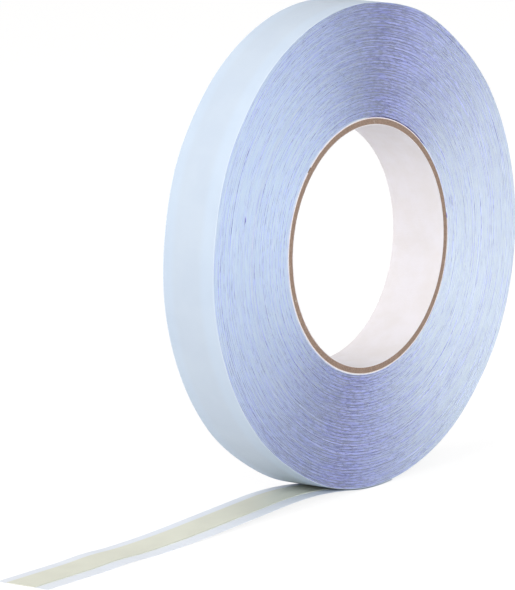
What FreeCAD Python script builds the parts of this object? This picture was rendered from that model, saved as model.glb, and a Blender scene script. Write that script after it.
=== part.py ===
import FreeCAD, Part
import math
import os

import Sketcher

# A roll of adhesive strip standing on edge, with a free tail drawn off along the surface below it.
# The origin is the centre of the core's bore, +Y runs along the bore, +Z is up and the tail
# lies towards -X. The strip is a release liner, on the outside of the roll, that carries a
# narrower double-coated tape on its inner side. Lengths are in millimetres, angles in degrees.

doc = FreeCAD.newDocument("GripTapeRoll")

# ---------------------------------------------------------------------------------------------
# Driving sizes
# ---------------------------------------------------------------------------------------------

SIZES = [
    # paper core
    ("core_bore", 76.2),
    ("core_width", 20.3),
    ("inner_ply", 0.2),
    ("board_ply", 0.45),
    ("board_ply_count", 4),
    # two lengths of white tape that hold the start of the strip on the core
    ("wrap_thickness", 0.35),
    ("wrap_width", 20.0),
    ("wrap_start_angle", 3.0),
    ("wrap_long_angle", 226.5),
    ("wrap_notch_angle", 3.0),
    ("wrap_short_angle", 86.5),
    # strip: liner, and the tape of adhesive, carrier, adhesive that it carries
    ("liner_width", 20.0),
    ("liner_thickness", 0.1),
    ("tape_width", 11.0),
    ("tape_shift", 0.7),
    ("adhesive_coat", 0.06),
    ("carrier_thickness", 0.045),
    # bands of turns, each of which ran a little to one side as it was wound
    ("band_1_turns", 28), ("band_1_shift", -0.08),
    ("band_2_turns", 38), ("band_2_shift", 0.15),
    ("band_3_turns", 37), ("band_3_shift", -0.15),
    ("band_4_turns", 32), ("band_4_shift", 0.04),
    # free tail: it clings from the start angle on one side of the roll's lowest point to the
    # lift-off angle on the other, arches over, slopes down, lands, and ends past one ripple
    ("peel_gap", 0.05),
    ("start_angle", 6.0),
    ("lift_angle", 9.3),
    ("arch_radius", 147.0),
    ("run_angle", 3.2),
    ("landing_radius", 500.0),
    ("ripple_length", 26.0),
    ("ripple_radius", 130.0),
    ("end_flat", 24.5),
]
BAND_COUNT = 4

sheet = doc.addObject("Spreadsheet::Sheet", "Sizes")
for row, (alias, number) in enumerate(SIZES, start=1):
    sheet.set(f"A{row}", alias)
    sheet.set(f"B{row}", str(number))
    sheet.setAlias(f"B{row}", alias)
doc.recompute()


def value(expression):
    """Return the number that an expression on the sheet stands for."""
    return float(sheet.evalExpression(expression))


# Radii and thicknesses that follow from the driving sizes, as expressions.
BORE_RADIUS = "(Sizes.core_bore / 2)"
BOARD_INSIDE = f"({BORE_RADIUS} + Sizes.inner_ply)"
CORE_RADIUS = f"({BOARD_INSIDE} + Sizes.board_ply_count * Sizes.board_ply)"
WRAP_RADIUS = f"({CORE_RADIUS} + Sizes.wrap_thickness)"
TAPE = "(2 * Sizes.adhesive_coat + Sizes.carrier_thickness)"
STRIP = f"(Sizes.liner_thickness + {TAPE})"
FIRST_TURN_RADIUS = f"({WRAP_RADIUS} + {STRIP})"


def band_radius(band):
    """Return the outer radius of a band of turns, counted from 1; band 0 is the first turn."""
    turns = " + ".join(["0"] + [f"Sizes.band_{i}_turns" for i in range(1, band + 1)])
    return f"({FIRST_TURN_RADIUS} + ({turns}) * {STRIP})"


WOUND_RADIUS = band_radius(BAND_COUNT)
ROLL_RADIUS = f"({WOUND_RADIUS} + {STRIP})"
FLOOR_DEPTH = f"({ROLL_RADIUS} + Sizes.peel_gap + {STRIP})"

# ---------------------------------------------------------------------------------------------
# Helpers for bodies and sketches
# ---------------------------------------------------------------------------------------------

ORIGIN = (-1, 1)
POINT = {"start": 1, "end": 2, "centre": 3}
START, END, CENTRE = POINT["start"], POINT["end"], POINT["centre"]


def new_body(node):
    """Add an empty body whose label names its node."""
    body = doc.addObject("PartDesign::Body", node)
    body.Label = node
    body.Placement = FreeCAD.Placement()
    return body


def new_sketch(body, name, plane):
    """Add a sketch on one of the body's own origin planes."""
    sketch = body.newObject("Sketcher::SketchObject", name)
    support = next(item for item in body.Origin.OriginFeatures if item.Role == plane)
    sketch.AttachmentSupport = [(support, "")]
    sketch.MapMode = "FlatFace"
    return sketch


def bind(sketch, kind, first, second, expression):
    """Add a distance constraint between two points and tie it to the sheet."""
    index = sketch.addConstraint(Sketcher.Constraint(kind, *first, *second, value(expression)))
    sketch.setExpression(f"Constraints[{index}]", expression)


def bind_radius(sketch, edge, expression):
    index = sketch.addConstraint(Sketcher.Constraint("Radius", edge, value(expression)))
    sketch.setExpression(f"Constraints[{index}]", expression)


def add_outline(sketch, corners):
    """Draw a closed outline of level and upright lines through corners given as expressions.

    The first line is level. Each line's place is tied to the sheet once, from the origin.
    """
    points = [FreeCAD.Vector(value(x), value(y), 0) for x, y in corners]
    count = len(points)
    lines = []
    for i, point in enumerate(points):
        lines.append(sketch.addGeometry(Part.LineSegment(point, points[(i + 1) % count])))
    for i, line in enumerate(lines):
        following = lines[(i + 1) % count]
        sketch.addConstraint(Sketcher.Constraint("Coincident", line, END, following, START))
        level = i % 2 == 0
        sketch.addConstraint(Sketcher.Constraint("Horizontal" if level else "Vertical", line))
        bind(sketch, "DistanceY" if level else "DistanceX", ORIGIN, (line, START),
             corners[i][1] if level else corners[i][0])


def add_ring(body, corners, angle=None):
    """Revolve an outline, drawn as radius and place along the bore, about the bore."""
    sketch = new_sketch(body, f"{body.Name}_profile", "XY_Plane")
    add_outline(sketch, corners)
    ring = body.newObject("PartDesign::Revolution", f"{body.Name}_ring")
    ring.Profile = sketch
    ring.ReferenceAxis = (sketch, ["V_Axis"])
    if angle is None:
        ring.Angle = 360.0
    else:
        ring.setExpression("Angle", angle)


def rectangle(inside, outside, front, back):
    return [(inside, front), (outside, front), (outside, back), (inside, back)]


# ---------------------------------------------------------------------------------------------
# Paper core: a thin white ply inside and plies of brown board around it
# ---------------------------------------------------------------------------------------------

CORE_FRONT = "(-Sizes.core_width / 2)"
CORE_BACK = "(Sizes.core_width / 2)"

inner_ply = new_body("core_inner_ply")
add_ring(inner_ply, rectangle(BORE_RADIUS, BOARD_INSIDE, CORE_FRONT, CORE_BACK))
bodies = [inner_ply]

for ply in range(round(value("Sizes.board_ply_count"))):
    board_ply = new_body(f"core_board_ply_{ply + 1}")
    inside = f"({BOARD_INSIDE} + {ply} * Sizes.board_ply)"
    outside = f"({BOARD_INSIDE} + {ply + 1} * Sizes.board_ply)"
    add_ring(board_ply, rectangle(inside, outside, CORE_FRONT, CORE_BACK))
    bodies.append(board_ply)

# ---------------------------------------------------------------------------------------------
# White tape round the core, in a long and a short length with a notch between them
# ---------------------------------------------------------------------------------------------

WRAPS = [
    ("core_wrap_long", "Sizes.wrap_start_angle", "Sizes.wrap_long_angle"),
    ("core_wrap_short", "(Sizes.wrap_start_angle - Sizes.wrap_long_angle - Sizes.wrap_notch_angle)",
     "Sizes.wrap_short_angle"),
]
for node, start_angle, span in WRAPS:
    wrap = new_body(node)
    add_ring(wrap, rectangle(CORE_RADIUS, WRAP_RADIUS, "(-Sizes.wrap_width / 2)",
                             "(Sizes.wrap_width / 2)"), span)
    wrap.Placement = FreeCAD.Placement(
        FreeCAD.Vector(), FreeCAD.Rotation(FreeCAD.Vector(0, 1, 0), -value(start_angle)))
    wrap.setExpression("Placement.Rotation.Angle", f"-1 * {start_angle} * 1 deg")
    bodies.append(wrap)

# ---------------------------------------------------------------------------------------------
# First turn of strip: round the wraps, and down onto the core in the break between their ends
# ---------------------------------------------------------------------------------------------

BREAK_FROM = "Sizes.wrap_start_angle"
BREAK_TO = ("(360 + Sizes.wrap_start_angle - Sizes.wrap_long_angle - Sizes.wrap_notch_angle"
            " - Sizes.wrap_short_angle)")


def add_first_turn(body):
    sketch = new_sketch(body, "first_turn_profile", "XZ_Plane")
    centre, normal = FreeCAD.Vector(), FreeCAD.Vector(0, 0, 1)
    core, wrap, outside = value(CORE_RADIUS), value(WRAP_RADIUS), value(FIRST_TURN_RADIUS)
    angles = [math.radians(value(BREAK_FROM)), math.radians(value(BREAK_TO))]

    def polar(radius, angle):
        return FreeCAD.Vector(radius * math.cos(angle), radius * math.sin(angle), 0)

    rim = sketch.addGeometry(Part.Circle(centre, normal, outside))
    low = sketch.addGeometry(Part.ArcOfCircle(Part.Circle(centre, normal, core), *angles))
    high = sketch.addGeometry(Part.ArcOfCircle(Part.Circle(centre, normal, wrap), angles[1],
                                               angles[0] + 2 * math.pi))
    steps = [sketch.addGeometry(Part.LineSegment(polar(core, a), polar(wrap, a))) for a in angles]
    rays = [sketch.addGeometry(Part.LineSegment(centre, polar(core, a)), True) for a in angles]
    for edge in (rim, low, high):
        sketch.addConstraint(Sketcher.Constraint("Coincident", edge, CENTRE, *ORIGIN))
    bind_radius(sketch, rim, FIRST_TURN_RADIUS)
    bind_radius(sketch, low, CORE_RADIUS)
    bind_radius(sketch, high, WRAP_RADIUS)
    low_ends, high_ends = (START, END), (END, START)
    for i, angle in enumerate((BREAK_FROM, BREAK_TO)):
        sketch.addConstraint(Sketcher.Constraint("Coincident", rays[i], START, *ORIGIN))
        sketch.addConstraint(Sketcher.Constraint("Coincident", rays[i], END, low, low_ends[i]))
        sketch.addConstraint(Sketcher.Constraint("Coincident", steps[i], START, low, low_ends[i]))
        sketch.addConstraint(Sketcher.Constraint("Coincident", steps[i], END, high, high_ends[i]))
        sketch.addConstraint(Sketcher.Constraint("Parallel", steps[i], rays[i]))
        index = sketch.addConstraint(
            Sketcher.Constraint("Angle", -1, START, rays[i], START, angles[i]))
        sketch.setExpression(f"Constraints[{index}]", f"{angle} * 1 deg")
    turn = body.newObject("PartDesign::Pad", "first_turn_pad")
    turn.Profile = sketch
    turn.SideType = "Symmetric"
    turn.setExpression("Length", "Sizes.liner_width")


first_turn = new_body("first_turn")
add_first_turn(first_turn)
bodies.append(first_turn)

# ---------------------------------------------------------------------------------------------
# Wound turns: one stepped ring, in which each band of turns stands a little to one side
# ---------------------------------------------------------------------------------------------


def stepped_outline():
    """Return the corners of the bands, out along the front side and home along the back."""
    front, back = [], []
    for band in range(1, BAND_COUNT + 1):
        for radius in (band_radius(band - 1), band_radius(band)):
            front.append((radius, f"(Sizes.band_{band}_shift - Sizes.liner_width / 2)"))
            back.append((radius, f"(Sizes.band_{band}_shift + Sizes.liner_width / 2)"))
    return front + back[::-1]


wound_turns = new_body("wound_turns")
add_ring(wound_turns, stepped_outline())
bodies.append(wound_turns)

# ---------------------------------------------------------------------------------------------
# Last turn: the narrow tape inside and the full-width liner over it
# ---------------------------------------------------------------------------------------------

LINER_FRONT = "(-Sizes.liner_width / 2)"
LINER_BACK = "(Sizes.liner_width / 2)"
TAPE_FRONT = "(Sizes.tape_shift - Sizes.tape_width / 2)"
TAPE_BACK = "(Sizes.tape_shift + Sizes.tape_width / 2)"
LAST_LINER_INSIDE = f"({WOUND_RADIUS} + {TAPE})"

last_turn_tape = new_body("last_turn_tape")
add_ring(last_turn_tape, rectangle(WOUND_RADIUS, LAST_LINER_INSIDE, TAPE_FRONT, TAPE_BACK))
last_turn_liner = new_body("last_turn_liner")
add_ring(last_turn_liner, rectangle(LAST_LINER_INSIDE, ROLL_RADIUS, LINER_FRONT, LINER_BACK))
bodies += [last_turn_tape, last_turn_liner]

# ---------------------------------------------------------------------------------------------
# Free tail: it clings under the roll, arches down to the surface and runs out with one low
# ripple to its cut end. Every layer is swept along the same path, the underside of the liner.
# ---------------------------------------------------------------------------------------------

LIFT_SINE, LIFT_COSINE = "sin(Sizes.lift_angle * 1 deg)", "cos(Sizes.lift_angle * 1 deg)"
SLOPE_SINE, SLOPE_COSINE = "sin(Sizes.run_angle * 1 deg)", "cos(Sizes.run_angle * 1 deg)"
START_SINE = "sin(Sizes.start_angle * 1 deg)"
ARCH_REACH = f"(({FLOOR_DEPTH} + Sizes.arch_radius) * {LIFT_SINE})"
ARCH_RISE = f"(({FLOOR_DEPTH} + Sizes.arch_radius) * (1 - {LIFT_COSINE}))"
BENT_RADII = "(Sizes.arch_radius + Sizes.landing_radius)"
RUN_LENGTH = f"(({ARCH_RISE} - {BENT_RADII} * (1 - {SLOPE_COSINE})) / {SLOPE_SINE})"
LANDING = f"({ARCH_REACH} + {BENT_RADII} * {SLOPE_SINE} + {RUN_LENGTH} * {SLOPE_COSINE})"
TAIL_END = f"({LANDING} + Sizes.ripple_length + Sizes.end_flat)"


class PathEdge:
    """One edge of the tail's path in its sketch, with the points at its left and right end."""

    def __init__(self, sketch, shape, left, right):
        self.index = sketch.addGeometry(shape)
        self.left = (self.index, left)
        self.right = (self.index, right)
        self.centre = (self.index, CENTRE)


def path_line(sketch, left, right):
    points = [FreeCAD.Vector(*point, 0) for point in (left, right)]
    return PathEdge(sketch, Part.LineSegment(*points), START, END)


def path_arc(sketch, centre, radius, first, last):
    """Draw an arc anticlockwise; one that bows upwards therefore starts at its right end."""
    circle = Part.Circle(FreeCAD.Vector(*centre, 0), FreeCAD.Vector(0, 0, 1), radius)
    bows_up = centre[1] < -value(FLOOR_DEPTH)
    ends = (END, START) if bows_up else (START, END)
    return PathEdge(sketch, Part.ArcOfCircle(circle, first, last), *ends)


def add_tail_path(body):
    """Draw the underside of the liner, from its cut end to its start under the roll."""
    sketch = new_sketch(body, f"{body.Name}_path", "XZ_Plane")
    depth, landing, tail_end = value(FLOOR_DEPTH), value(LANDING), value(TAIL_END)
    arch_radius, land_radius = value("Sizes.arch_radius"), value("Sizes.landing_radius")
    ripple_radius, ripple_end = value("Sizes.ripple_radius"), tail_end - value("Sizes.end_flat")
    lift, slope = math.radians(value("Sizes.lift_angle")), math.radians(value("Sizes.run_angle"))
    ripple = math.asin((ripple_end - landing) / 4 / ripple_radius)
    start = math.radians(value("Sizes.start_angle"))
    down, up = math.radians(270), math.radians(90)

    arch_x, arch_y = -value(ARCH_REACH), value(ARCH_RISE) - depth - arch_radius
    run_top = (arch_x - arch_radius * math.sin(slope), arch_y + arch_radius * math.cos(slope))
    run_foot = (land_radius * math.sin(slope) - landing,
                land_radius * (1 - math.cos(slope)) - depth)
    crest_centre = (-(landing + ripple_end) / 2,
                    ripple_radius * (1 - 2 * math.cos(ripple)) - depth)
    rise_centre = (-ripple_end, ripple_radius - depth)
    fall_centre = (-landing, ripple_radius - depth)

    flat = path_line(sketch, (-tail_end, -depth), (-ripple_end, -depth))
    rise = path_arc(sketch, rise_centre, ripple_radius, down, down + ripple)
    crest = path_arc(sketch, crest_centre, ripple_radius, up - ripple, up + ripple)
    fall = path_arc(sketch, fall_centre, ripple_radius, down - ripple, down)
    touch = path_arc(sketch, (-landing, land_radius - depth), land_radius, down, down + slope)
    run = path_line(sketch, run_foot, run_top)
    arch = path_arc(sketch, (arch_x, arch_y), arch_radius, up - lift, up + slope)
    cling = path_arc(sketch, (0, 0), depth, down - lift, down + start)

    for left, right in ((rise, crest), (crest, fall), (touch, run), (run, arch), (arch, cling)):
        sketch.addConstraint(Sketcher.Constraint("Tangent", *left.right, *right.left))
    for left, right in ((flat, rise), (fall, touch)):
        sketch.addConstraint(Sketcher.Constraint("Coincident", *left.right, *right.left))
    for arc, foot in ((rise, rise.left), (fall, fall.right), (touch, touch.left)):
        sketch.addConstraint(Sketcher.Constraint("Vertical", *foot, *arc.centre))
    for arc in (rise, crest):
        sketch.addConstraint(Sketcher.Constraint("Equal", arc.index, fall.index))
    sketch.addConstraint(Sketcher.Constraint("Horizontal", flat.index))
    sketch.addConstraint(Sketcher.Constraint("Horizontal", *rise.left, *fall.right))
    sketch.addConstraint(Sketcher.Constraint("Coincident", *cling.centre, *ORIGIN))
    bind_radius(sketch, cling.index, FLOOR_DEPTH)
    bind_radius(sketch, arch.index, "Sizes.arch_radius")
    bind_radius(sketch, touch.index, "Sizes.landing_radius")
    bind_radius(sketch, fall.index, "Sizes.ripple_radius")
    bind(sketch, "DistanceY", touch.left, ORIGIN, FLOOR_DEPTH)
    bind(sketch, "DistanceX", ORIGIN, cling.right, f"{FLOOR_DEPTH} * {START_SINE}")
    bind(sketch, "DistanceX", cling.left, ORIGIN, f"{FLOOR_DEPTH} * {LIFT_SINE}")
    bind(sketch, "DistanceX", touch.left, ORIGIN, LANDING)
    bind(sketch, "DistanceX", rise.left, fall.right, "Sizes.ripple_length")
    bind(sketch, "DistanceX", flat.left, flat.right, "Sizes.end_flat")
    return sketch


def add_tail_layer(node, below, thickness, front, back):
    """Sweep one layer, which lies on those below it, along the tail's path."""
    body = new_body(node)
    path = add_tail_path(body)
    section = new_sketch(body, f"{node}_section", "YZ_Plane")
    section.AttachmentOffset = FreeCAD.Placement(
        FreeCAD.Vector(0, 0, -value(TAIL_END)), FreeCAD.Rotation())
    section.setExpression("AttachmentOffset.Base.z", f"-1 * {TAIL_END}")
    bottom = f"({below} - {FLOOR_DEPTH})"
    top = f"({below} + {thickness} - {FLOOR_DEPTH})"
    add_outline(section, [(front, bottom), (back, bottom), (back, top), (front, top)])
    layer = body.newObject("PartDesign::AdditivePipe", f"{node}_pipe")
    layer.Profile = section
    layer.Spine = (path, [])
    return body


COAT, CARRIER = "Sizes.adhesive_coat", "Sizes.carrier_thickness"
LINER = "Sizes.liner_thickness"
bodies += [
    add_tail_layer("tail_liner", "0", LINER, LINER_FRONT, LINER_BACK),
    add_tail_layer("tail_lower_adhesive", LINER, COAT, TAPE_FRONT, TAPE_BACK),
    add_tail_layer("tail_carrier", f"({LINER} + {COAT})", CARRIER, TAPE_FRONT, TAPE_BACK),
    add_tail_layer("tail_upper_adhesive", f"({LINER} + {COAT} + {CARRIER})", COAT,
                   TAPE_FRONT, TAPE_BACK),
]

# ---------------------------------------------------------------------------------------------
# Check every object, then write one file for each piece
# ---------------------------------------------------------------------------------------------

doc.recompute()
for item in doc.Objects:
    if "Invalid" in item.State or "Error" in item.State:
        raise RuntimeError(f"{item.Label} did not compute: {item.State}")
    if item.isDerivedFrom("Sketcher::SketchObject") and not item.FullyConstrained:
        raise RuntimeError(f"{item.Label} is not fully constrained")

os.makedirs("parts", exist_ok=True)
for body in bodies:
    shape = body.Shape
    if shape.isNull() or not shape.isValid() or len(shape.Solids) != 1:
        raise RuntimeError(f"{body.Label} is not one valid solid")
    shape.exportStep(f"parts/{body.Label}.step")
    print(f"{body.Label}: {shape.Volume:.2f} mm3")
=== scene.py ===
import math

import bmesh
import bpy
import numpy as np
from mathutils import Matrix, Vector, noise


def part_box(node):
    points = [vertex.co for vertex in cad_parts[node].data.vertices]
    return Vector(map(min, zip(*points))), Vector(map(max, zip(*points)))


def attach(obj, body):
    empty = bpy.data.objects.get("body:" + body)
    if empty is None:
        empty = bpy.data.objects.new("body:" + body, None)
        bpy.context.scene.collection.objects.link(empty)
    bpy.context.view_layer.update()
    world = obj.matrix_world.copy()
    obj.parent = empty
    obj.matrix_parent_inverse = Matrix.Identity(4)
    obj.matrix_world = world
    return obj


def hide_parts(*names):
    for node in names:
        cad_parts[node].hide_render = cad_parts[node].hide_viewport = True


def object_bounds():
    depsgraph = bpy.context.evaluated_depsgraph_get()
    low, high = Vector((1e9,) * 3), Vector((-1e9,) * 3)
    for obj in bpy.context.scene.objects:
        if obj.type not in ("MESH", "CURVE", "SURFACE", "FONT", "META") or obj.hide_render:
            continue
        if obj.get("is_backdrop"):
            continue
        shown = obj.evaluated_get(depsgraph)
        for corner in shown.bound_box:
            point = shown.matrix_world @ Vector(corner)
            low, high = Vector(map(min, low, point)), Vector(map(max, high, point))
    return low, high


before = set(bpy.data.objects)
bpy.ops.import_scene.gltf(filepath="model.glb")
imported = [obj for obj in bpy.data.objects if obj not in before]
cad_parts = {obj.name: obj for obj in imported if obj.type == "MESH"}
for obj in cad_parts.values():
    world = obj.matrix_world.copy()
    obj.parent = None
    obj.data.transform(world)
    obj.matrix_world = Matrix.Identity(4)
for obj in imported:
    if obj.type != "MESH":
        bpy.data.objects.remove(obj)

MM = 0.001
cad_low, cad_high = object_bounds()

# ---------------------------------------------------------------------------------------------
# Core lining: one ply of smooth white paper, glued in as the innermost layer of the 3-inch tube.
# The tube is cut to width with a knife, so the ply ends flush with the board in a crisp edge.
# ---------------------------------------------------------------------------------------------

LINING_WHITE = (0.780, 0.762, 0.800, 1.0)
LINING_SHADE = (0.745, 0.718, 0.730, 1.0)
CORE_STEPS = 288
CREASE_ANGLE = 40
BORE_AXIS = (0, -1, 0)
LINING_THICKNESS, KNIFE_WAVER = 0.2 * MM, 0.04 * MM


def outer_radius(node):
    """Return the outer radius of a ring of the frame."""
    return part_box(node)[1].x


def side_places(node):
    """Return where a node's front and back sides lie along the bore."""
    low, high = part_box(node)
    return low.y, high.y


def on_ring(radius, angle, along):
    """Return the point at a radius, an angle from +X towards +Z and a place along the bore."""
    return Vector((radius * math.cos(angle), along, radius * math.sin(angle)))


def angle_of(point):
    """Return a point's angle about the bore, in degrees from 0 to 360."""
    return math.degrees(math.atan2(point.z, point.x)) % 360


def join_in_loop(builder, corners):
    """Join corners with edges, each to the next and the last to the first."""
    return [builder.edges.new((corners[i - 1], corners[i])) for i in range(len(corners))]


def spin_section(section, steps, first=0.0, last=360.0):
    """Spin a closed section of (radius, place along the bore) points about the bore."""
    builder = bmesh.new()
    corners = [builder.verts.new(on_ring(r, math.radians(first), y)) for r, y in section]
    edges = join_in_loop(builder, corners)
    closed = abs(last - first - 360) < 1e-6
    if not closed:
        builder.faces.new(corners)
    spun = bmesh.ops.spin(builder, geom=corners + edges, cent=(0, 0, 0), axis=BORE_AXIS,
                          angle=math.radians(last - first), steps=steps, use_merge=closed)
    if not closed:
        ends = [item for item in spun["geom_last"] if isinstance(item, bmesh.types.BMEdge)]
        bmesh.ops.contextual_create(builder, geom=ends)
    bmesh.ops.remove_doubles(builder, verts=builder.verts, dist=1e-7)
    bmesh.ops.recalc_face_normals(builder, faces=builder.faces)
    return builder


def ring_section(inside, outside, front, back, along=1):
    """Return a rectangular section, divided along the bore."""
    places = [front + (back - front) * i / along for i in range(along + 1)]
    return [(outside, y) for y in places] + [(inside, y) for y in reversed(places)]


def finish_piece(builder, name, material, body, stands_for):
    """Make the mesh an object that rides on its body and stands for its CAD nodes."""
    mesh = bpy.data.meshes.new(name)
    builder.to_mesh(mesh)
    builder.free()
    mesh.shade_smooth()
    mesh.set_sharp_from_angle(angle=math.radians(CREASE_ANGLE))
    mesh.materials.append(material)
    piece = bpy.data.objects.new(name, mesh)
    bpy.context.scene.collection.objects.link(piece)
    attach(piece, body)
    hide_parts(*stands_for)
    return piece


def place(tree, kind, inputs=None, **settings):
    """Add a node; a value fills an input, and another node's output is linked to it."""
    node = tree.nodes.new("ShaderNode" + kind)
    for key, setting in settings.items():
        setattr(node, key, setting)
    for key, given in (inputs or {}).items():
        if isinstance(given, bpy.types.NodeSocket):
            tree.links.new(given, node.inputs[key])
        else:
            node.inputs[key].default_value = given
    return node


def blend_colours(tree, amount, first, second, how="MIX"):
    """Blend two colours and return the resulting socket."""
    node = tree.nodes.new("ShaderNodeMix")
    node.data_type, node.blend_type = "RGBA", how
    for index, given in ((0, amount), (6, first), (7, second)):
        if isinstance(given, bpy.types.NodeSocket):
            tree.links.new(given, node.inputs[index])
        else:
            node.inputs[index].default_value = given
    return node.outputs[2]


def reckon(tree, operation, first, second=0.0, third=None):
    """Add a math node and return its result."""
    inputs = {0: first, 1: second} if third is None else {0: first, 1: second, 2: third}
    return place(tree, "Math", inputs, operation=operation).outputs[0]


def spread(tree, given, low, high, to_low=0.0, to_high=1.0):
    """Stretch the part of a value between low and high over a new range, with soft ends."""
    node = place(tree, "MapRange", {"Value": given, "From Min": low, "From Max": high,
                                    "To Min": to_low, "To Max": to_high},
                 interpolation_type="SMOOTHSTEP")
    return node.outputs["Result"]


def new_group(name, inputs, outputs):
    """Start a node group with named inputs and outputs."""
    group = bpy.data.node_groups.new(name, "ShaderNodeTree")
    for title, kind, default in inputs:
        socket = group.interface.new_socket(name=title, in_out="INPUT", socket_type=kind)
        socket.default_value = default
    for title, kind in outputs:
        group.interface.new_socket(name=title, in_out="OUTPUT", socket_type=kind)
    return group, group.nodes.new("NodeGroupInput"), group.nodes.new("NodeGroupOutput")


def new_finish(name, roughness, **constants):
    """Start a material; the constants are set on the shader's own sockets."""
    material = bpy.data.materials.new(name)
    material.use_nodes = True
    shader = material.node_tree.nodes["Principled BSDF"]
    shader.inputs["Roughness"].default_value = roughness
    for key, constant in constants.items():
        shader.inputs[key.replace("_", " ")].default_value = constant
    return material, material.node_tree, shader


# Paper fibres: soft cloudy formation with short fibres across it, for every paper and board.
fibres, asked, given_out = new_group(
    "paper_fibres",
    [("Position", "NodeSocketVector", (0, 0, 0)), ("Fibre Size", "NodeSocketFloat", 0.6),
     ("Cloud Size", "NodeSocketFloat", 6.0), ("Stretch", "NodeSocketVector", (1, 1, 1))],
    [("Clouds", "NodeSocketFloat"), ("Fibres", "NodeSocketFloat"), ("Height", "NodeSocketFloat")])
stretched = place(fibres, "VectorMath", {0: asked.outputs["Position"],
                                         1: asked.outputs["Stretch"]}, operation="MULTIPLY")
cloud_scale = reckon(fibres, "DIVIDE", 1000.0, asked.outputs["Cloud Size"])
fibre_scale = reckon(fibres, "DIVIDE", 1000.0, asked.outputs["Fibre Size"])
clouds = place(fibres, "TexNoise", {"Vector": asked.outputs["Position"], "Scale": cloud_scale,
                                    "Detail": 3.0, "Roughness": 0.6})
threads = place(fibres, "TexNoise", {"Vector": stretched.outputs[0], "Scale": fibre_scale,
                                     "Detail": 4.0, "Roughness": 0.62, "Distortion": 0.6})
fibres.links.new(clouds.outputs["Fac"], given_out.inputs["Clouds"])
fibres.links.new(threads.outputs["Fac"], given_out.inputs["Fibres"])
fibres.links.new(reckon(fibres, "MULTIPLY_ADD", clouds.outputs["Fac"], 0.4,
                        threads.outputs["Fac"]), given_out.inputs["Height"])


def paper_fibres(tree, fibre_size, cloud_size, stretch=(1, 1, 1)):
    """Place the fibre group on the piece's own coordinates."""
    position = place(tree, "TexCoord").outputs["Object"]
    node = tree.nodes.new("ShaderNodeGroup")
    node.node_tree = fibres
    tree.links.new(position, node.inputs["Position"])
    node.inputs["Fibre Size"].default_value = fibre_size
    node.inputs["Cloud Size"].default_value = cloud_size
    node.inputs["Stretch"].default_value = stretch
    return node


def raise_surface(tree, shader, height, distance):
    """Feed a height to the shader's normal through a bump node."""
    bump = place(tree, "Bump", {"Height": height, "Distance": distance, "Strength": 1.0})
    tree.links.new(bump.outputs["Normal"], shader.inputs["Normal"])


lining_paper, tree, shader = new_finish("lining_paper", 0.62, Specular_IOR_Level=0.4)
grain = paper_fibres(tree, 0.45, 9.0, (1.0, 0.45, 1.0))
tree.links.new(blend_colours(tree, spread(tree, grain.outputs["Clouds"], 0.3, 0.72),
                             LINING_SHADE, LINING_WHITE), shader.inputs["Base Color"])
tree.links.new(spread(tree, grain.outputs["Fibres"], 0.25, 0.75, 0.52, 0.72),
               shader.inputs["Roughness"])
raise_surface(tree, shader, grain.outputs["Height"], 0.05 * MM)

core_front, core_back = side_places("core_inner_ply")
lining_outside = outer_radius("core_inner_ply")
builder = spin_section(ring_section(lining_outside - LINING_THICKNESS, lining_outside,
                                    core_front, core_back, 8), CORE_STEPS)
for vert in builder.verts:
    if abs(vert.co.y) > 9 * MM:
        vert.co.y -= math.copysign(KNIFE_WAVER * (1 + noise.noise(vert.co * 900)), vert.co.y)
finish_piece(builder, "core_lining", lining_paper, "roll", ["core_inner_ply"])

# ---------------------------------------------------------------------------------------------
# Core board: four plies of raw brown board, wound on the lining and glued to each other. The
# knife leaves their cut ends matt and fibrous, with the glue lines darker between the plies.
# ---------------------------------------------------------------------------------------------

BOARD_BROWN = (0.248, 0.174, 0.129, 1.0)
BOARD_LIGHT = (0.385, 0.282, 0.225, 1.0)
BOARD_FLECK = (0.62, 0.55, 0.48, 1.0)
GLUE_BROWN = (0.22, 0.155, 0.12, 1.0)
BOARD_PLIES = ["core_board_ply_1", "core_board_ply_2", "core_board_ply_3", "core_board_ply_4"]
PLY_THICKNESS = outer_radius("core_board_ply_2") - outer_radius("core_board_ply_1")
TORN_DEPTH, GLUE_SINK = 0.055 * MM, 0.05 * MM

core_board, tree, shader = new_finish("core_board", 0.9, Specular_IOR_Level=0.25)
grain = paper_fibres(tree, 0.38, 3.5)
axes = place(tree, "SeparateXYZ", {0: place(tree, "TexCoord").outputs["Object"]})
radius = reckon(tree, "SQRT", reckon(tree, "MULTIPLY_ADD", axes.outputs["X"], axes.outputs["X"],
                                     reckon(tree, "MULTIPLY", axes.outputs["Z"],
                                            axes.outputs["Z"])))
plies_out = reckon(tree, "DIVIDE", reckon(tree, "SUBTRACT", radius, lining_outside),
                   PLY_THICKNESS)
from_glue = reckon(tree, "PINGPONG", plies_out, 0.5)
brown = blend_colours(tree, spread(tree, grain.outputs["Fibres"], 0.32, 0.66),
                      BOARD_BROWN, BOARD_LIGHT)
brown = blend_colours(tree, spread(tree, from_glue, 0.0, 0.16, 0.75, 0.0), brown, GLUE_BROWN)
brown = blend_colours(tree, spread(tree, grain.outputs["Clouds"], 0.66, 0.76), brown, BOARD_FLECK)
tree.links.new(brown, shader.inputs["Base Color"])
tree.links.new(spread(tree, grain.outputs["Fibres"], 0.3, 0.7, 0.82, 0.98),
               shader.inputs["Roughness"])
raise_surface(tree, shader, grain.outputs["Height"], 0.12 * MM)

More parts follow.
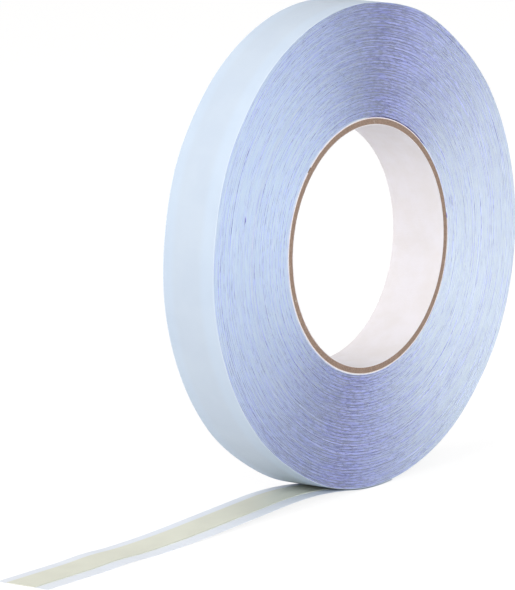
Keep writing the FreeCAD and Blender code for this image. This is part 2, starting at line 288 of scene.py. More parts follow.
inside = lining_outside
for ply, node in enumerate(BOARD_PLIES):
    outside = outer_radius(node)
    middle = (inside + outside) / 2
    builder = spin_section([(outside, core_front), (outside, core_back), (middle, core_back),
                            (inside, core_back), (inside, core_front), (middle, core_front)],
                           CORE_STEPS)
    for vert in builder.verts:
        out = math.hypot(vert.co.x, vert.co.z)
        torn = TORN_DEPTH * (1 + noise.noise(vert.co * 1400 + Vector((0, 0, ply))))
        sink = GLUE_SINK if abs(out - middle) > 0.1 * MM else 0
        vert.co.y -= math.copysign(torn + sink, vert.co.y)
    finish_piece(builder, f"core_board_{ply + 1}", core_board, "roll", [node])
    inside = outside

# ---------------------------------------------------------------------------------------------
# Core wraps: two lengths of white paper tape stuck round the core, which hold the start of the
# strip. A notch shows the board between them, and the break beyond the short one stays bare.
# ---------------------------------------------------------------------------------------------

WRAP_WHITE = (0.86, 0.81, 0.81, 1.0)
WRAP_SHADE = (0.68, 0.63, 0.64, 1.0)
WRAP_PROUD = 0.09 * MM
CLEARANCE = 0.01 * MM
WRAPS = [("core_wrap_long", -223.5, 3.0), ("core_wrap_short", 47.0, 133.5)]

wrap_paper, tree, shader = new_finish("wrap_paper", 0.7, Specular_IOR_Level=0.35)
grain = paper_fibres(tree, 0.3, 2.2)
tree.links.new(blend_colours(tree, spread(tree, grain.outputs["Fibres"], 0.3, 0.6),
                             WRAP_SHADE, WRAP_WHITE), shader.inputs["Base Color"])
tree.links.new(spread(tree, grain.outputs["Clouds"], 0.3, 0.7, 0.6, 0.8),
               shader.inputs["Roughness"])
raise_surface(tree, shader, grain.outputs["Height"], 0.06 * MM)

core_radius, wrap_radius = outer_radius("core_board_ply_4"), outer_radius("core_wrap_long")
wrap_front, wrap_back = side_places("core_wrap_long")
for node, first, last in WRAPS:
    builder = spin_section(ring_section(core_radius + CLEARANCE, wrap_radius - CLEARANCE,
                                        wrap_front, wrap_back, 4),
                           round(last - first), first, last)
    for vert in builder.verts:
        if abs(vert.co.y) > 9.9 * MM:
            stray = 0.04 * noise.noise(vert.co * 160) + 0.02 * noise.noise(vert.co * 700)
            vert.co.y += math.copysign(WRAP_PROUD + stray * MM, vert.co.y)
    finish_piece(builder, node.replace("core_wrap", "wrap"), wrap_paper, "roll",
                 [node])

# ---------------------------------------------------------------------------------------------
# First turn: the strip starts here, goes over both wraps, and drops on to the bare board in the
# break between their ends. Its edges are the knife-cut sides of a pale blue liner.
# ---------------------------------------------------------------------------------------------

BREAK_FROM, BREAK_TO, SETTLE_SPAN = 3.0, 47.0, 5
SLACK_FROM, SLACK_TO, SLACK_SINK = 38, 92, 1.1 * MM
FIRST_STEPS = 360
EDGE_BLUE = (0.71, 0.79, 0.91, 1.0)
# The darker edge colour is painted shade of sunken edges, laid on in streaks and specks.
EDGE_STREAK_SHADE = (0.555, 0.635, 0.89, 1.0)
OUTER_FACE = (0.62, 0.77, 0.88, 1.0)
INNER_FACE = (0.86, 0.96, 0.97, 1.0)
# The burr and slot colours are painted shade in the grooves, not the liner's own colour.
BURR_SHADE_LIGHT = (0.430, 0.440, 0.960, 1.0)
BURR_SHADE_DARK = (0.070, 0.050, 0.420, 1.0)
GROOVE_DEEP_SHADE = (0.045, 0.025, 0.300, 1.0)

# Turn streaks: the uneven edges of the turns, as arcs of line that follow the winding and fade
# in and out round it, with a fine speckle on top.
streaks, asked, given_out = new_group(
    "turn_streaks",
    [("Position", "NodeSocketVector", (0, 0, 0)), ("Fine Pitch", "NodeSocketFloat", 0.5),
     ("Broad Pitch", "NodeSocketFloat", 2.2), ("Waver", "NodeSocketFloat", 0.25)],
    [("Fine", "NodeSocketFloat"), ("Speckle", "NodeSocketFloat"), ("Height", "NodeSocketFloat")])
axes = place(streaks, "SeparateXYZ", {0: asked.outputs["Position"]})
level = place(streaks, "CombineXYZ", {"X": axes.outputs["X"], "Z": axes.outputs["Z"]})
radius = place(streaks, "VectorMath", {0: level.outputs[0]}, operation="LENGTH").outputs["Value"]
heading = place(streaks, "VectorMath", {0: level.outputs[0]}, operation="NORMALIZE").outputs[0]
heading = place(streaks, "SeparateXYZ", {0: heading})
wander = place(streaks, "TexNoise", {"Vector": asked.outputs["Position"], "Scale": 45.0,
                                     "Detail": 2.0})
radius_mm = reckon(streaks, "MULTIPLY", radius, 1000.0)
radius_mm = reckon(streaks, "MULTIPLY_ADD", wander.outputs["Fac"], asked.outputs["Waver"],
                   radius_mm)


def streak_noise(pitch, turns, detail, rough, aside=0.0):
    """Noise whose features are a pitch wide outwards and long round the roll."""
    where = place(streaks, "CombineXYZ", {
        "X": reckon(streaks, "DIVIDE", radius_mm, pitch),
        "Y": reckon(streaks, "MULTIPLY_ADD", heading.outputs["X"], turns, aside),
        "Z": reckon(streaks, "MULTIPLY", heading.outputs["Z"], turns)})
    return place(streaks, "TexNoise", {"Vector": where.outputs[0], "Scale": 1.0,
                                       "Detail": detail, "Roughness": rough}).outputs["Fac"]


fine = streak_noise(asked.outputs["Fine Pitch"], 9.0, 2.0, 0.6)
broad = streak_noise(asked.outputs["Broad Pitch"], 1.3, 2.0, 0.5, 7.0)
speckle = streak_noise(0.42, 22.0, 1.0, 0.5, 3.0)
streaks.links.new(fine, given_out.inputs["Fine"])
streaks.links.new(speckle, given_out.inputs["Speckle"])
streaks.links.new(reckon(streaks, "MULTIPLY_ADD", broad, 0.6, fine), given_out.inputs["Height"])


def turn_streaks(tree, fine_pitch, broad_pitch, waver):
    """Place the streak group on the piece's own coordinates."""
    node = tree.nodes.new("ShaderNodeGroup")
    node.node_tree = streaks
    tree.links.new(place(tree, "TexCoord").outputs["Object"], node.inputs["Position"])
    node.inputs["Fine Pitch"].default_value = fine_pitch
    node.inputs["Broad Pitch"].default_value = broad_pitch
    node.inputs["Waver"].default_value = waver
    return node


def cut_edge_finish(name):
    """Make the satin finish of many cut liner edges and of the grooves between them.

    In a groove the liner's outer face looks away from the bore and its paler inner face towards
    it. The burr that half closes the groove is painted in violet shade, and the slot by it in
    darker painted shade; darker streaks and specks on the edges are painted shade too.
    """
    material, tree, shader = new_finish(name, 0.5, Specular_IOR_Level=0.4, Anisotropic=0.5,
                                        Anisotropic_Rotation=0.25)
    lines = turn_streaks(tree, 0.42, 1.6, 0.35)
    # Darker streaks along the turns are painted shade of sunken edges.
    colour = blend_colours(tree, spread(tree, lines.outputs["Fine"], 0.36, 0.60), EDGE_STREAK_SHADE,
                           EDGE_BLUE)
    where = place(tree, "TexCoord")
    outward = place(tree, "VectorMath", {0: where.outputs["Object"], 1: (1, 0, 1)},
                    operation="MULTIPLY")
    outward = place(tree, "VectorMath", {0: outward.outputs[0]}, operation="NORMALIZE")
    facing = place(tree, "VectorMath", {0: where.outputs["Normal"], 1: outward.outputs[0]},
                   operation="DOT_PRODUCT").outputs["Value"]
    walls = blend_colours(tree, spread(tree, facing, -0.3, 0.3), INNER_FACE, OUTER_FACE)
    # Painted violet shade on the burr, lighter and darker in specks.
    burr = blend_colours(tree, spread(tree, lines.outputs["Speckle"], 0.42, 0.66), BURR_SHADE_LIGHT,
                         BURR_SHADE_DARK)
    # How much painted shade a point takes: groove walls first, then the burr, then the deep slot.
    depth = place(tree, "Attribute", attribute_name="recess_shade").outputs["Fac"]
    colour = blend_colours(tree, spread(tree, depth, 0.0, 0.03), colour, walls)
    colour = blend_colours(tree, spread(tree, depth, 0.15, 0.20), colour, burr)
    # Painted dark shade deep in the slots, broken along the turns.
    deep_slot_shade = spread(tree, lines.outputs["Fine"], 0.40, 0.52, 0.25, 1.0)
    deep_slot_shade = reckon(tree, "MULTIPLY", spread(tree, depth, 0.28, 0.42), deep_slot_shade)
    colour = blend_colours(tree, deep_slot_shade, colour, GROOVE_DEEP_SHADE)
    # Specks of the same painted shade on the edges.
    speckle_shade = spread(tree, lines.outputs["Speckle"], 0.55, 0.75, 0.0, 0.3)
    tree.links.new(blend_colours(tree, speckle_shade, colour, EDGE_STREAK_SHADE), shader.inputs["Base Color"])
    tree.links.new(spread(tree, lines.outputs["Fine"], 0.3, 0.7, 0.55, 0.42),
                   shader.inputs["Roughness"])
    raise_surface(tree, shader, lines.outputs["Height"], 0.03 * MM)
    tangent = place(tree, "Tangent", direction_type="RADIAL", axis="Y")
    tree.links.new(tangent.outputs[0], shader.inputs["Tangent"])
    return material


strip_edges = cut_edge_finish("strip_edges")

first_front, first_back = side_places("first_turn")
first_outside = outer_radius("first_turn")
builder = spin_section(ring_section(wrap_radius, first_outside, first_front, first_back, 2),
                       FIRST_STEPS, BREAK_FROM, BREAK_FROM + 360)
shade_layer = builder.verts.layers.float.new("recess_shade")
for vert in builder.verts:
    angle = angle_of(vert.co)
    out = math.hypot(vert.co.x, vert.co.z)
    inmost = out < wrap_radius + 0.1 * MM
    if inmost and BREAK_FROM + 0.5 < angle < BREAK_TO - 0.5:
        settled = min(1.0, (angle - BREAK_FROM) / SETTLE_SPAN)
        inner = wrap_radius + (core_radius + CLEARANCE - wrap_radius) * settled
        vert.co.xz = vert.co.xz * inner / out
        # Painted shade at the step where the strip drops on to the board.
        vert[shade_layer] = 0.6 * (1 - settled)
    if SLACK_FROM < angle < SLACK_TO:
        slack = math.sin(math.pi * (angle - SLACK_FROM) / (SLACK_TO - SLACK_FROM))
        vert.co.y -= math.copysign(SLACK_SINK * slack, vert.co.y)
        # Painted shade on the sunken inmost edges in the slack.
        vert[shade_layer] = 1.2 * slack * inmost
finish_piece(builder, "first_turn_of_strip", strip_edges, "roll", ["first_turn"])

# ---------------------------------------------------------------------------------------------
# Wound turns: 135 more turns of the strip. Only the liner reaches the sides, so each side is a
# stack of thin cut edges. The knife left a burr in the groove beside every edge, with a slot
# past it, wider at every third or fourth turn. Bands of turns ran a little to one side.
# ---------------------------------------------------------------------------------------------

STRIP_THICKNESS = 0.265 * MM
STRIP_HALF_WIDTH = 10.0 * MM
# Each band is a count of turns and a shift, and each flat spot a place and a reach in degrees
# and a depth. Shifts and depths are in millimetres, and so are those of the single turns.
BANDS = [(28, -0.08), (38, 0.15), (37, -0.15), (32, 0.04)]
BAND_STEPS = 240
EDGE_THICKNESS, BURR_DEPTH, SLOT_DEPTH = (0.07, 0.08), (0.21, 0.26), (0.6, 1.0)
THIN_SLOT, WIDE_SLOT, WIDE_EVERY = (0.04, 0.08), 0.155, (3, 3, 4, 4)
WIDE_SINK, WIDE_STRAY = 0.09 * MM, 1.6
EDGE_STEP, SLOT_STEP = 0.01 * MM, 0.03 * MM
# Painted shade amounts for the recess shade: on the burrs, darker beside wide slots, darkest in
# the slots.
BURR_SHADES, WIDE_BURR_SHADES, SLOT_SHADE = (0.26, 0.23), (0.39, 0.36), 0.8
TURNS = sum(turns for turns, _ in BANDS)
PROUD_TURNS = {17: 0.10, 18: 0.06, 36: -0.12, 51: 0.12, 56: -0.10, 80: 0.12, 81: 0.10,
               84: -0.12, 87: 0.10, 93: -0.10, 110: 0.08, 121: -0.08}
SIDE_LIMIT = cad_high.y
ROLL_RADIUS = outer_radius("last_turn_liner")
FLAT_SPOTS = [(50, 20, 0.60), (78, 16, 0.25), (140, 14, 0.2), (168, 20, 0.50), (237, 17, 0.55),
              (315, 15, 0.32)]


def read_points(mesh):
    """Return a mesh's points as an array of rows."""
    points = np.empty(len(mesh.vertices) * 3)
    mesh.vertices.foreach_get("co", points)
    return points.reshape(-1, 3)


def wind_unevenly(piece, points):
    """Give a piece its points, drawn in where the strip was wound tighter, more so further out."""
    angle = np.degrees(np.arctan2(points[:, 2], points[:, 0])) % 360
    out = np.hypot(points[:, 0], points[:, 2])
    depth = np.zeros(len(points))
    for centre, reach, most in FLAT_SPOTS:
        away = np.abs((angle - centre + 180) % 360 - 180) / reach
        depth += np.where(away < 1, most * MM * (0.5 + 0.5 * np.cos(np.pi * away)), 0)
    share = np.clip((out - first_outside) / (ROLL_RADIUS - first_outside), 0, 1)
    points[:, ::2] *= (1 - depth * share ** 1.6 / out)[:, None]
    piece.data.vertices.foreach_set("co", points.ravel())
    piece.data.update()


def smooth_noise(rng, turn_reach, angle_reach, amount):
    """Return a seeded table of noise by turn and by step round the roll, softened both ways."""
    table = rng.standard_normal((TURNS + 1, BAND_STEPS))
    for axis, reach in ((0, turn_reach), (1, angle_reach)):
        count = table.shape[axis]
        waves = np.exp(-2 * (np.pi * np.fft.fftfreq(count) * reach) ** 2)
        shape = (-1, 1) if axis == 0 else (1, -1)
        table = np.fft.ifft(np.fft.fft(table, axis=axis) * waves.reshape(shape), axis=axis).real
    return table * amount / table.std()


rng = np.random.default_rng(20)
SIDE_STRAY = {side: smooth_noise(rng, 0.45, 1.3, 0.028) + smooth_noise(rng, 0.5, 7, 0.026)
              + smooth_noise(rng, 1.4, 20, 0.014) for side in (-1, 1)}
WAVER = smooth_noise(rng, 1.2, 4, 0.024)
NICK_TURNS, NICK_STEP = (84, 85), round(162.8 / 360 * BAND_STEPS)
# The nick is sunk and painted darker with shade.
NICK_SINK, NICK_SHADE = 0.12, 0.26

turn_shifts = np.repeat([shift for _, shift in BANDS], [turns for turns, _ in BANDS])
turn_shifts = np.convolve(np.pad(turn_shifts, 3, "edge"), np.ones(7) / 7, "valid")

turn_radius, turn, until_wide, wide = first_outside, 0, 0, False
for band, (turns, _) in enumerate(BANDS, start=1):
    front, back, numbers, point_shades = [], [], [], []
    for _ in range(turns):
        turn += 1
        aside = turn_shifts[turn - 1] + PROUD_TURNS.get(turn, 0.0)
        until_wide -= 1
        after_wide, wide = wide, until_wide <= 0
        if wide:
            until_wide = rng.choice(WIDE_EVERY)
        slot = (WIDE_SLOT if wide else rng.uniform(*THIN_SLOT)) * MM
        edge, burr = rng.uniform(*EDGE_THICKNESS) * MM, rng.uniform(*BURR_DEPTH) * MM
        low, high = -STRIP_HALF_WIDTH + aside * MM, STRIP_HALF_WIDTH + aside * MM
        sunk = WIDE_SINK if wide else 0.0
        burr += WIDE_SINK if wide or after_wide else 0.0
        by_slot, by_edge = WIDE_BURR_SHADES if wide else BURR_SHADES
        if wide:
            for side in (-1, 1):
                SIDE_STRAY[side][turn] *= WIDE_STRAY
        burr_end = turn_radius + STRIP_THICKNESS - edge - EDGE_STEP
        places = [(turn_radius + slot / 2, rng.uniform(*SLOT_DEPTH) * MM, SLOT_SHADE),
                  (turn_radius + slot, burr + SLOT_STEP, by_slot),
                  (burr_end, burr, by_edge), (burr_end + EDGE_STEP, sunk, 0.0)]
        turn_radius += STRIP_THICKNESS
        places.append((turn_radius, sunk, 0.0))
        front += [(r, low + down) for r, down, _ in places]
        back += [(r, high - down) for r, down, _ in places]
        numbers += [turn] * len(places)
        point_shades += [shade for _, _, shade in places]
    builder = bmesh.new()
    number_layer = builder.verts.layers.float.new("turn_number")
    shade_layer = builder.verts.layers.float.new("recess_shade")
    section = front + back[::-1]
    corners = [builder.verts.new((r, y, 0)) for r, y in section]
    # Each point carries its turn and its amount of painted shade.
    for corner, number, depth in zip(corners, numbers + numbers[::-1], point_shades + point_shades[::-1]):
        corner[number_layer], corner[shade_layer] = number, depth
    edges = join_in_loop(builder, corners)
    bmesh.ops.spin(builder, geom=corners + edges, cent=(0, 0, 0), axis=BORE_AXIS,
                   angle=2 * math.pi, steps=BAND_STEPS, use_merge=True)
    bmesh.ops.recalc_face_normals(builder, faces=builder.faces)
    piece = finish_piece(builder, f"wound_turns_{band}", strip_edges, "roll",
                         ["wound_turns"])
    points = read_points(piece.data)
    numbers = np.empty(len(points))
    piece.data.attributes["turn_number"].data.foreach_get("value", numbers)
    numbers = np.rint(numbers).astype(int)
    steps = np.degrees(np.arctan2(points[:, 2], points[:, 0])) / 360 * BAND_STEPS
    steps = np.rint(steps).astype(int) % BAND_STEPS
    on_front = points[:, 1] < 0
    stray = np.where(on_front, SIDE_STRAY[-1][numbers, steps], SIDE_STRAY[1][numbers, steps])
    # Points of the nick, which get painted shade as well as their sink.
    nicked = (on_front & (steps == NICK_STEP) & (numbers >= NICK_TURNS[0])
              & (numbers <= NICK_TURNS[1]))
    points[:, 1] = np.clip(points[:, 1] + (stray + NICK_SINK * nicked) * MM,
                           -SIDE_LIMIT, SIDE_LIMIT)
    point_shades = np.empty(len(points))
    piece.data.attributes["recess_shade"].data.foreach_get("value", point_shades)
    piece.data.attributes["recess_shade"].data.foreach_set(
        "value", point_shades + NICK_SHADE * nicked)
    out = np.hypot(points[:, 0], points[:, 2])
    points[:, ::2] *= (1 + WAVER[numbers, steps] * MM * np.abs(points[:, 1]) ** 2
                       / STRIP_HALF_WIDTH ** 2 / out)[:, None]
    wind_unevenly(piece, points)

# ---------------------------------------------------------------------------------------------
# Last turn: on the outside lies the pale blue release liner, thin enough that the narrower tape
# under it shows as a greyer band. It carries no adhesive on its outside, and has a satin face.
# ---------------------------------------------------------------------------------------------

LINER_BLUE = (0.535, 0.630, 0.745, 1.0)
LINER_OVER_TAPE = (0.528, 0.610, 0.710, 1.0)
# A painted highlight along the liner's cut sides.
LINER_EDGE_HIGHLIGHT = (0.73, 0.82, 0.93, 1.0)
LINER_MOTTLE = (0.955, 0.962, 0.975, 1.0)
TAPE_CREAM = (0.74, 0.745, 0.66, 1.0)
TAPE_SHADE = (0.70, 0.70, 0.62, 1.0)
TREAD_STEPS = 360
MARGIN_SAG, TREAD_RIPPLE, SIDE_WANDER = 0.09 * MM, 0.05 * MM, 0.03 * MM

tape_front, tape_back = side_places("last_turn_tape")
liner_front, liner_back = side_places("last_turn_liner")


def liner_finish(name, margin, over_tape, edge):
    """Make the liner's satin face, the tape showing through between its margins, and a painted
    highlight at its sides.
    """
    material, tree, shader = new_finish(name, 0.45, Specular_IOR_Level=0.45)
    grain = paper_fibres(tree, 0.5, 14.0)
    along = place(tree, "SeparateXYZ",
                  {0: place(tree, "TexCoord").outputs["Object"]}).outputs["Y"]
    over = reckon(tree, "MULTIPLY",
                  spread(tree, along, tape_front - 1.6 * MM, tape_front + 1.4 * MM),
                  spread(tree, along, tape_back - 1.4 * MM, tape_back + 1.6 * MM, 1.0, 0.0))
    colour = blend_colours(tree, over, margin, over_tape)
    # Painted highlight near the liner's sides.
    rim_highlight = spread(tree, reckon(tree, "ABSOLUTE", along), liner_back - 0.35 * MM, liner_back)
    colour = blend_colours(tree, reckon(tree, "MULTIPLY", rim_highlight, 0.7), colour, edge)
    mottle = spread(tree, grain.outputs["Clouds"], 0.3, 0.7)
    darker = blend_colours(tree, 1.0, colour, LINER_MOTTLE, "MULTIPLY")
    tree.links.new(blend_colours(tree, mottle, darker, colour), shader.inputs["Base Color"])
    tree.links.new(spread(tree, grain.outputs["Fibres"], 0.3, 0.7, 0.40, 0.52),
                   shader.inputs["Roughness"])
    raise_surface(tree, shader, grain.outputs["Height"], 0.02 * MM)
    return material


tread_liner = liner_finish("tread_liner", LINER_BLUE, LINER_OVER_TAPE, LINER_EDGE_HIGHLIGHT)

tape_inside, tape_outside = outer_radius("wound_turns"), outer_radius("last_turn_tape")
tape_paper, tree, shader = new_finish("tape_paper", 0.4, Specular_IOR_Level=0.5)
grain = paper_fibres(tree, 0.8, 5.0)
tree.links.new(blend_colours(tree, spread(tree, grain.outputs["Clouds"], 0.3, 0.7),
                             TAPE_SHADE, TAPE_CREAM), shader.inputs["Base Color"])
tree.links.new(spread(tree, grain.outputs["Fibres"], 0.3, 0.7, 0.34, 0.5),
               shader.inputs["Roughness"])
raise_surface(tree, shader, grain.outputs["Height"], 0.02 * MM)

builder = spin_section(ring_section(tape_inside + CLEARANCE, tape_outside - CLEARANCE,
                                    tape_front, tape_back, 4), TREAD_STEPS)
piece = finish_piece(builder, "last_turn_tape_ring", tape_paper, "roll",
                     ["last_turn_tape"])
wind_unevenly(piece, read_points(piece.data))

builder = spin_section(ring_section(tape_outside, ROLL_RADIUS, liner_front, liner_back, 20),
                       TREAD_STEPS)
for vert in builder.verts:
    out = math.hypot(vert.co.x, vert.co.z)
    angle = math.radians(angle_of(vert.co))
    beyond = max(tape_front - vert.co.y, vert.co.y - tape_back, 0.0) / (4 * MM)
    sag = MARGIN_SAG * min(1.0, beyond) ** 1.5
    ripple = TREAD_RIPPLE * (0.5 + noise.noise(Vector((3 * math.cos(angle), vert.co.y * 90,
                                                       3 * math.sin(angle)))))
    vert.co.xz = vert.co.xz * (1 - (sag + max(0.0, ripple)) / out)
    vert.co.y += SIDE_WANDER * noise.noise(Vector((2 * math.cos(angle), 5, 2 * math.sin(angle))))
piece = finish_piece(builder, "last_turn_of_liner", tread_liner, "roll",
                     ["last_turn_liner"])
wind_unevenly(piece, read_points(piece.data))

# ---------------------------------------------------------------------------------------------
# Free tail: the end of the strip, which clings under the roll, arches down to the surface and
# runs out over one low ripple to a cut end. It is the liner with the tape lying on it: a coat
# of adhesive, a thin tissue carrier, and a second coat on top, all narrower than the liner.
# ---------------------------------------------------------------------------------------------

FLOOR_DEPTH = -cad_low.z
START_ANGLE, LIFT_ANGLE, RUN_ANGLE = 6.0, 9.3, 3.2
ARCH_RADIUS, LANDING_RADIUS, RIPPLE_RADIUS = 147 * MM, 500 * MM, 130 * MM
RIPPLE_LENGTH, END_FLAT = 26 * MM, 24.5 * MM
TAIL_LAYERS = ["tail_liner", "tail_lower_adhesive", "tail_carrier", "tail_upper_adhesive"]
LAYER_THICKNESS = [0.1 * MM, 0.06 * MM, 0.045 * MM, 0.06 * MM]
TAIL_MARGIN = (0.77, 0.82, 0.89, 1.0)
TAIL_OVER_TAPE = (0.74, 0.76, 0.74, 1.0)
# A painted highlight along the tail liner's cut sides.
TAIL_EDGE_HIGHLIGHT = (0.82, 0.87, 0.93, 1.0)
ADHESIVE_DARK = (0.68, 0.70, 0.595, 1.0)
ADHESIVE_LIGHT = (0.72, 0.74, 0.635, 1.0)
# Painted shade along the tape's near edge.
ADHESIVE_EDGE_SHADE = (0.56, 0.60, 0.50, 1.0)


def turn_section(builder, section, centre, degrees, steps):
    """Carry a section round a centre; a positive angle turns anticlockwise from the front."""
    spun = bmesh.ops.spin(builder, geom=section, cent=(centre[0], 0, centre[1]),
                          axis=BORE_AXIS, angle=math.radians(degrees), steps=steps)
    return spun["geom_last"]


def run_section(builder, section, degrees, length, steps):
    """Carry a section straight on, at a slope in degrees below level, towards -X."""
    slope = math.radians(degrees)
    step = Vector((-math.cos(slope), 0, -math.sin(slope))) * length / steps
    spun = bmesh.ops.spin(builder, geom=section, cent=(0, 0, 0), axis=BORE_AXIS, angle=0.0,
                          dvec=step, steps=steps)
    return spun["geom_last"]


def sweep_tail(below, thickness, front, back, across):
    """Sweep one layer along the tail, from its start under the roll to its cut end."""
    lift, slope = math.radians(LIFT_ANGLE), math.radians(RUN_ANGLE)
    reach = (FLOOR_DEPTH + ARCH_RADIUS) * math.sin(lift)
    rise = (FLOOR_DEPTH + ARCH_RADIUS) * (1 - math.cos(lift))
    bent = ARCH_RADIUS + LANDING_RADIUS
    run = (rise - bent * (1 - math.cos(slope))) / math.sin(slope)
    landing = reach + bent * math.sin(slope) + run * math.cos(slope)
    ripple = math.degrees(math.asin(RIPPLE_LENGTH / 4 / RIPPLE_RADIUS))
    crest_drop = RIPPLE_RADIUS * (1 - 2 * math.cos(math.radians(ripple)))

    builder = bmesh.new()
    start = math.radians(270 + START_ANGLE)
    inner, outer = FLOOR_DEPTH - below - thickness, FLOOR_DEPTH - below
    places = [front + (back - front) * i / across for i in range(across + 1)]
    corners = [builder.verts.new(on_ring(outer, start, y)) for y in places]
    corners += [builder.verts.new(on_ring(inner, start, y)) for y in reversed(places)]
    edges = join_in_loop(builder, corners)
    builder.faces.new(corners)
    section = corners + edges
    section = turn_section(builder, section, (0, 0), -(START_ANGLE + LIFT_ANGLE), 12)
    section = turn_section(builder, section, (-reach, rise - FLOOR_DEPTH - ARCH_RADIUS),
                           LIFT_ANGLE + RUN_ANGLE, 18)
    section = run_section(builder, section, RUN_ANGLE, run, max(2, round(run / (2 * MM))))
    section = turn_section(builder, section, (-landing, LANDING_RADIUS - FLOOR_DEPTH),
                           -RUN_ANGLE, 14)
    section = turn_section(builder, section, (-landing, RIPPLE_RADIUS - FLOOR_DEPTH),
                           -ripple, 5)
    section = turn_section(builder, section, (-landing - RIPPLE_LENGTH / 2,
                                              crest_drop - FLOOR_DEPTH), 2 * ripple, 9)
    section = turn_section(builder, section, (-landing - RIPPLE_LENGTH,
                                              RIPPLE_RADIUS - FLOOR_DEPTH), -ripple, 5)
    section = run_section(builder, section, 0.0, END_FLAT, 12)
    bmesh.ops.contextual_create(
        builder, geom=[item for item in section if isinstance(item, bmesh.types.BMEdge)])
    bmesh.ops.remove_doubles(builder, verts=builder.verts, dist=1e-7)
    bmesh.ops.recalc_face_normals(builder, faces=builder.faces)
    return builder


tail_liner = liner_finish("tail_liner", TAIL_MARGIN, TAIL_OVER_TAPE, TAIL_EDGE_HIGHLIGHT)

tape_adhesive, tree, shader = new_finish("tape_adhesive", 0.3, Specular_IOR_Level=0.5)
grain = paper_fibres(tree, 1.1, 7.0, (0.35, 1.0, 1.0))
cream = blend_colours(tree, spread(tree, grain.outputs["Clouds"], 0.3, 0.7),
                      ADHESIVE_DARK, ADHESIVE_LIGHT)
along = place(tree, "SeparateXYZ", {0: place(tree, "TexCoord").outputs["Object"]}).outputs["Y"]
# Painted shade on the adhesive near the tape's front edge.
near_edge_shade = spread(tree, along, tape_front + 0.05 * MM, tape_front + 0.6 * MM, 0.8, 0.0)
tree.links.new(blend_colours(tree, near_edge_shade, cream, ADHESIVE_EDGE_SHADE), shader.inputs["Base Color"])
tree.links.new(spread(tree, grain.outputs["Clouds"], 0.3, 0.7, 0.28, 0.40),
               shader.inputs["Roughness"])
raise_surface(tree, shader, grain.outputs["Clouds"], 0.02 * MM)

tail_finishes = [(tail_liner, "liner"), (tape_adhesive, "adhesive"), (tape_paper, "carrier"),
                 (tape_adhesive, "adhesive")]
below = 0.0
for node, thickness, (material, slot) in zip(TAIL_LAYERS, LAYER_THICKNESS, tail_finishes):
    front, back = side_places(node)
    builder = sweep_tail(below, thickness, front, back, 16 if node == "tail_liner" else 10)
    finish_piece(builder, node + "_strip", material, "tail", [node])
    below += thickness

# ---------------------------------------------------------------------------------------------
# Studio: a plain white floor and surround, one large soft light in front of the roll's side, two
# weaker ones above it and low at the left, and little light from the right. The camera stands
# to the front left, a little above the roll.
# ---------------------------------------------------------------------------------------------

FLOOR_BOUNCE, FLOOR_SEEN = (0.86, 0.86, 0.87, 1), (0.20, 0.20, 0.20, 1)
FLOOR_GLOW = 0.85
FLOOR_GAP, FLOOR_HALF_SIZE = 0.02 * MM, 4.0
SURROUND_TINT, WHITE = (1, 0.965, 0.94, 1), (1, 1, 1, 1)
# Each softbox is a name, a direction from the roll, a distance, a size and a power.
SOFTBOXES = [("key_softbox", (-0.605, -0.70, 0.37), 2.3, 1.1, 33.0),
             ("top_softbox", (-0.15, 0.05, 1.0), 1.6, 1.0, 8.0),
             ("left_softbox", (-0.96, 0.02, -0.12), 1.6, 0.9, 3.5)]
CAMERA_AZIMUTH, CAMERA_HEIGHT, CAMERA_ROLL = -50.40, 10.82, -2.134
CAMERA_DISTANCE, CAMERA_RIGHT, CAMERA_UP = 1.73006, -0.03499, -0.01535
CAMERA_LENS, SENSOR_WIDTH = 337.07, 36.0

scene = bpy.context.scene
scene.view_settings.view_transform = "Standard"

floor_mesh = bpy.data.meshes.new("floor")
builder = bmesh.new()
bmesh.ops.create_grid(builder, x_segments=8, y_segments=8, size=FLOOR_HALF_SIZE)
bmesh.ops.translate(builder, verts=builder.verts, vec=(0, 0, -FLOOR_DEPTH - FLOOR_GAP))
builder.to_mesh(floor_mesh)
builder.free()
floor = bpy.data.objects.new("floor", floor_mesh)
scene.collection.objects.link(floor)
floor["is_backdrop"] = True

floor_white = bpy.data.materials.new("floor_white")
floor_white.use_nodes = True
tree = floor_white.node_tree
shader = tree.nodes["Principled BSDF"]
shader.inputs["Roughness"].default_value = 0.9
shader.inputs["Specular IOR Level"].default_value = 0.0
shader.inputs["Emission Color"].default_value = WHITE
path = place(tree, "LightPath")
tree.links.new(blend_colours(tree, path.outputs["Is Camera Ray"], FLOOR_BOUNCE, FLOOR_SEEN),
               shader.inputs["Base Color"])
tree.links.new(reckon(tree, "MULTIPLY", path.outputs["Is Camera Ray"], FLOOR_GLOW),
               shader.inputs["Emission Strength"])
floor_mesh.materials.append(floor_white)

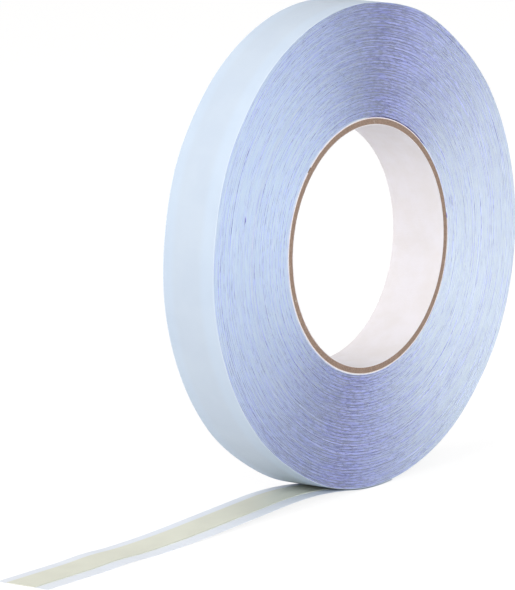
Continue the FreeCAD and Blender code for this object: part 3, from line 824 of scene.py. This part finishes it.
world = bpy.data.worlds.new("studio")
scene.world = world
world.use_nodes = True
tree = world.node_tree
backdrop = tree.nodes["Background"]
direction = place(tree, "SeparateXYZ", {0: place(tree, "TexCoord").outputs["Generated"]})
rightward = reckon(tree, "MULTIPLY_ADD", direction.outputs["X"], 0.77,
                   reckon(tree, "MULTIPLY", direction.outputs["Y"], -0.62))
dim = spread(tree, rightward, -0.1, 0.85, 0.70, 0.14)
path = place(tree, "LightPath")
level = reckon(tree, "MAXIMUM", dim, path.outputs["Is Camera Ray"])
tree.links.new(blend_colours(tree, path.outputs["Is Camera Ray"], SURROUND_TINT, WHITE),
               backdrop.inputs["Color"])
tree.links.new(level, backdrop.inputs["Strength"])


def add_softbox(name, toward, distance, size, power):
    """Hang a square soft light in a direction from the roll, facing it."""
    light = bpy.data.lights.new(name, "AREA")
    light.shape, light.size, light.energy = "SQUARE", size, power
    lamp = bpy.data.objects.new(name, light)
    lamp.location = Vector(toward).normalized() * distance
    lamp.rotation_mode = "QUATERNION"
    lamp.rotation_quaternion = Vector(toward).to_track_quat("Z", "Y")
    scene.collection.objects.link(lamp)


for softbox in SOFTBOXES:
    add_softbox(*softbox)

azimuth, height, tilt = (math.radians(a) for a in (CAMERA_AZIMUTH, CAMERA_HEIGHT, CAMERA_ROLL))
back = Vector((math.sin(azimuth) * math.cos(height), -math.cos(azimuth) * math.cos(height),
               math.sin(height)))
right = (-back).cross(Vector((0, 0, 1))).normalized()
up = right.cross(-back)
right, up = (math.cos(tilt) * right + math.sin(tilt) * up,
             math.cos(tilt) * up - math.sin(tilt) * right)
lens = bpy.data.cameras.new("camera")
lens.lens, lens.sensor_width = CAMERA_LENS, SENSOR_WIDTH
lens.clip_start, lens.clip_end = 0.05, 50.0
camera = bpy.data.objects.new("camera", lens)
camera.location = (Vector((0, liner_front, 0)) + back * CAMERA_DISTANCE
                   + right * CAMERA_RIGHT + up * CAMERA_UP)
camera.rotation_mode = "QUATERNION"
camera.rotation_quaternion = Matrix((right, up, back)).transposed().to_quaternion()
scene.collection.objects.link(camera)
scene.camera = camera

low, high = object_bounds()
